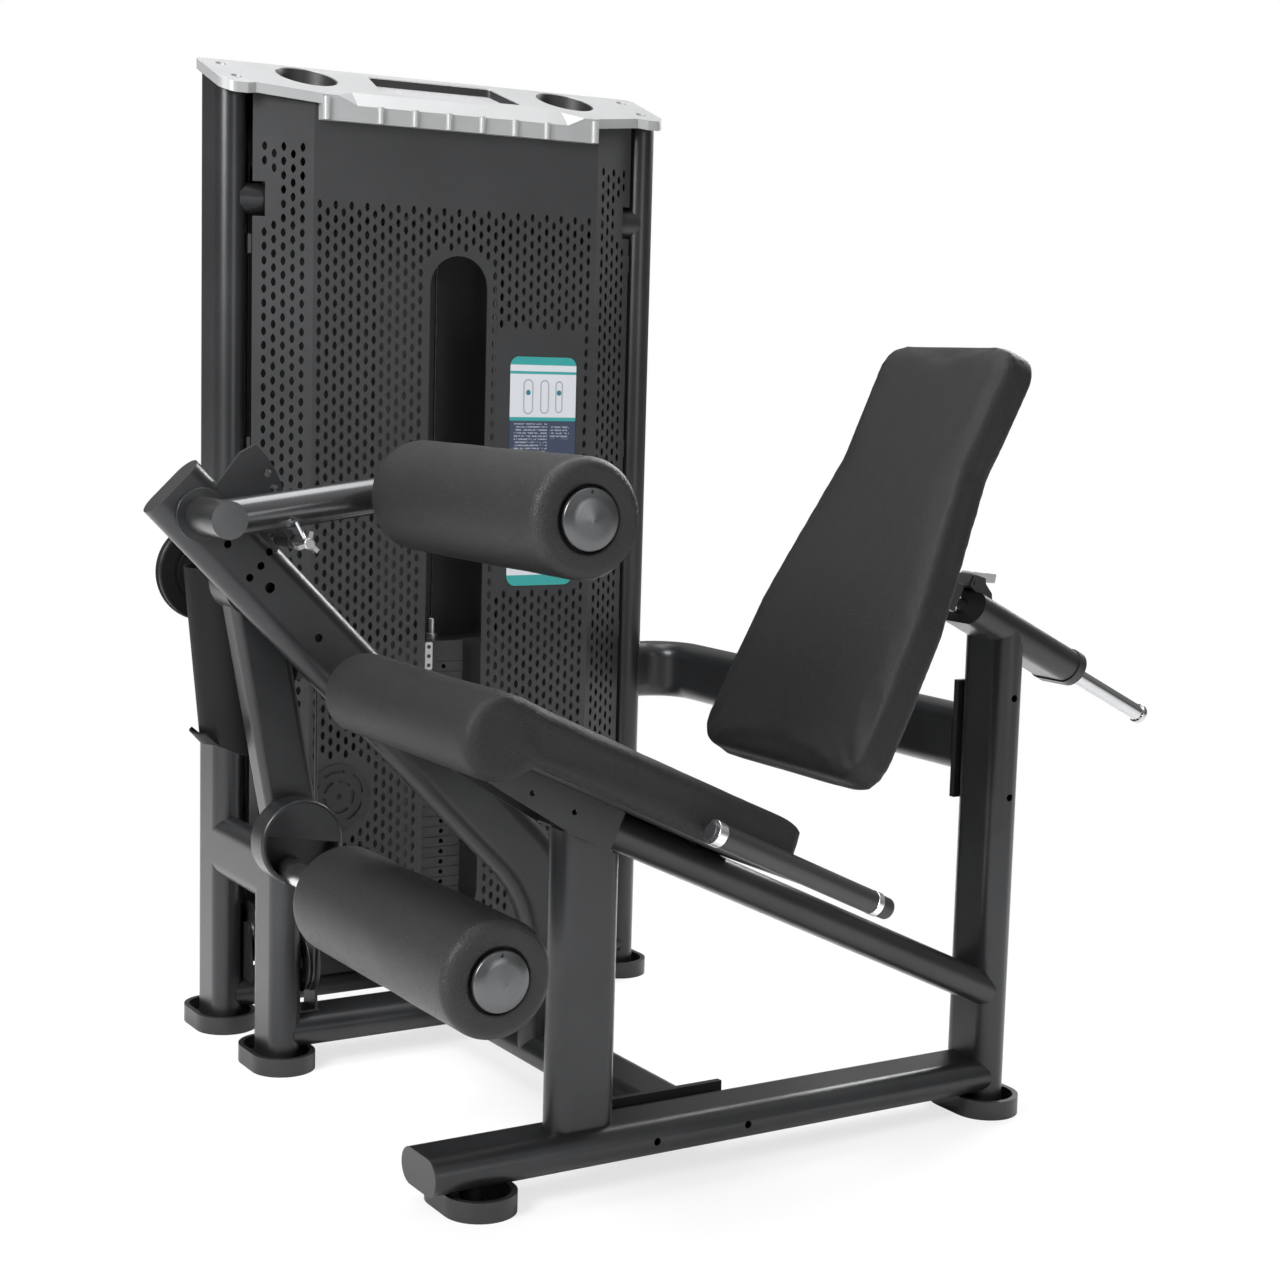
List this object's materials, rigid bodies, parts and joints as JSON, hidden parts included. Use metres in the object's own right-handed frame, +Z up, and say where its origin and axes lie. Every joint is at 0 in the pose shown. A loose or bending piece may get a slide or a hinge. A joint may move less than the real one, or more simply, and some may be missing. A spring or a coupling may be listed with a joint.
{
  "type": "leg extension machine",
  "caption": "Seated selectorised leg machine with a perforated weight tower, roller lever, thigh roller arm and sliding backrest.",
  "frame": {"origin": "centre of the underside of the rubber foot at the front of the seat base beam, on the floor", "axes": "+X from the lever towards the user's back, +Y from the seat towards the weight tower, +Z up"},
  "size_m": [1.4731, 1.2286, 1.5677],
  "materials": {
    "frame_paint": "dark charcoal satin powder coat with a fine metallic grain",
    "skin_paint": "dark charcoal matt powder coat on thin sheet",
    "cover_silver": "silver satin lacquer",
    "foot_rubber": "black moulded rubber",
    "black_plastic": "black moulded plastic",
    "dome_plastic": "dark satin moulded plastic",
    "chrome_rod": "polished chrome plate",
    "steel_bright": "bright machined steel",
    "collar_aluminium": "turned aluminium",
    "plate_steel": "black painted weight plates",
    "pad_leather": "black grained upholstery vinyl",
    "foam_skin": "black leather-grain moulded foam",
    "board_wood": "black painted plywood",
    "placard_print": null,
    "cable_jacket": "black nylon coated steel cable"
  },
  "bodies": {
    "frame": {"guide_rods": "chrome_rod", "stack_bumpers": "foot_rubber", "weight_plates_lower": "plate_steel", "front_shroud": "skin_paint", "rear_shroud": "skin_paint", "shroud_tabs": "skin_paint", "instruction_placard": "placard_print", "vent_roundel": "black_plastic", "tower_top_cover": "cover_silver", "bent_beam": "frame_paint", "thigh_pivot_shaft": "frame_paint", "cable_guard": "skin_paint", "cable_run": "cable_jacket", "seat_board": "board_wood", "seat_pad": "pad_leather", "handle_frame": "frame_paint", "hand_grips": "foot_rubber", "handle_collars": "collar_aluminium", "handle_end_caps": "black_plastic", "slide_housing": "frame_paint", "slide_bushes": "black_plastic", "release_bracket": "frame_paint", "rubber_feet": "foot_rubber", "seat_frame": "frame_paint", "side_frame": "frame_paint", "tower_frame": "frame_paint", "tie_beam": "frame_paint", "tube_end_caps": "black_plastic", "cover_liners": "black_plastic", "beam_shafts": "steel_bright", "fasteners": "black_plastic", "pulley_brackets": "frame_paint"},
    "lever": {"lever_arm": "frame_paint", "lever_bearings": "steel_bright", "ankle_drum": "frame_paint", "ankle_axle": "steel_bright", "cable_cam": "frame_paint"},
    "ankle_roller": {"ankle_roller_foam": "foam_skin", "ankle_roller_caps": "dome_plastic"},
    "thigh_arm_body": {"thigh_arm": "frame_paint", "thigh_axle": "steel_bright"},
    "thigh_pin": {"thigh_pull_pin": "steel_bright"},
    "thigh_roller": {"thigh_roller_foam": "foam_skin", "thigh_roller_caps": "dome_plastic"},
    "lifted_stack": {"weight_plates_upper": "plate_steel", "stack_head_plate": "plate_steel", "selector_rod": "steel_bright", "cable_drop": "cable_jacket"},
    "selector": {"selector_pin": "dome_plastic"},
    "guide_pulley_body": {"guide_pulley": "black_plastic"},
    "floor_pulley_front_body": {"floor_pulley_front": "black_plastic"},
    "floor_pulley_rear_body": {"floor_pulley_rear": "black_plastic"},
    "top_pulley_left_body": {"top_pulley_left": "black_plastic"},
    "top_pulley_middle_body": {"top_pulley_middle": "black_plastic"},
    "backrest": {"slide_rod": "chrome_rod", "backrest_carrier": "frame_paint", "backrest_board": "board_wood", "backrest_pad": "pad_leather"},
    "release": {"release_lever": "steel_bright"},
    "plunger": {"lock_pin": "steel_bright"}
  },
  "joints": [
    {"name": "lever_swing", "type": "hinge", "parent": "frame", "child": "lever", "pos_m": [-0.136, 0.45, 0.782], "axis": [0, 1, 0], "range_deg": [0, 100]},
    {"name": "stack_lift", "type": "slide", "parent": "frame", "child": "lifted_stack", "axis": [0, 0, 1], "range_m": [0, 0.125], "deforming": ["cable_drop"]},
    {"name": "guide_pulley_spin", "type": "hinge", "parent": "frame", "child": "guide_pulley_body", "pos_m": [-0.003, 0.614, 0.663], "axis": [0, 1, 0], "range_deg": [-160, 160]},
    {"name": "floor_pulley_front_spin", "type": "hinge", "parent": "frame", "child": "floor_pulley_front_body", "pos_m": [0.042, 0.659, 0.162], "axis": [1, 0, 0], "range_deg": [-160, 160]},
    {"name": "floor_pulley_rear_spin", "type": "hinge", "parent": "frame", "child": "floor_pulley_rear_body", "pos_m": [0.042, 0.857, 0.162], "axis": [1, 0, 0], "range_deg": [-160, 160]},
    {"name": "top_pulley_left_spin", "type": "hinge", "parent": "frame", "child": "top_pulley_left_body", "pos_m": [0.087, 0.902, 1.43], "axis": [0, 1, 0], "range_deg": [-160, 160]},
    {"name": "top_pulley_middle_spin", "type": "hinge", "parent": "frame", "child": "top_pulley_middle_body", "pos_m": [0.333, 0.902, 1.43], "axis": [0, 1, 0], "range_deg": [-160, 160]},
    {"name": "ankle_roller_spin", "type": "hinge", "parent": "lever", "child": "ankle_roller", "pos_m": [-0.087, 0, 0.37], "axis": [0, 1, 0], "continuous": true},
    {"name": "thigh_arm_adjust", "type": "hinge", "parent": "frame", "child": "thigh_arm_body", "pos_m": [-0.236, 0.3, 0.884], "axis": [0, 1, 0], "range_deg": [-46.4, 23.2]},
    {"name": "thigh_pin_pull", "type": "slide", "parent": "thigh_arm_body", "child": "thigh_pin", "axis": [0, -1, 0], "range_m": [0, 0.015]},
    {"name": "thigh_roller_spin", "type": "hinge", "parent": "thigh_arm_body", "child": "thigh_roller", "pos_m": [0.021, 0, 0.918], "axis": [0, 1, 0], "continuous": true},
    {"name": "selector_pin_pull", "type": "slide", "parent": "lifted_stack", "child": "selector", "axis": [0, -1, 0], "range_m": [0, 0.07]},
    {"name": "backrest_slide", "type": "slide", "parent": "frame", "child": "backrest", "axis": [-0.8965, 0, 0.4431], "range_m": [0, 0.16]},
    {"name": "backrest_release", "type": "hinge", "parent": "frame", "child": "release", "pos_m": [0.79923, 0, 0.80002], "axis": [0, 1, 0], "range_deg": [-9, 0]},
    {"name": "lock_pin_lift", "type": "slide", "parent": "frame", "child": "plunger", "axis": [0.4431, 0, 0.8965], "range_m": [0, 0.0026]}
  ],
  "couplings": [
    {"joint": "stack_lift", "follows": "lever_swing", "m_per_rad": 0.07},
    {"joint": "guide_pulley_spin", "follows": "lever_swing", "ratio": -1.5556},
    {"joint": "floor_pulley_front_spin", "follows": "lever_swing", "ratio": -1.5556},
    {"joint": "floor_pulley_rear_spin", "follows": "lever_swing", "ratio": -1.5556},
    {"joint": "top_pulley_left_spin", "follows": "lever_swing", "ratio": -1.5556},
    {"joint": "top_pulley_middle_spin", "follows": "lever_swing", "ratio": -1.5556},
    {"joint": "lock_pin_lift", "follows": "backrest_release", "m_per_rad": -0.014}
  ]
}
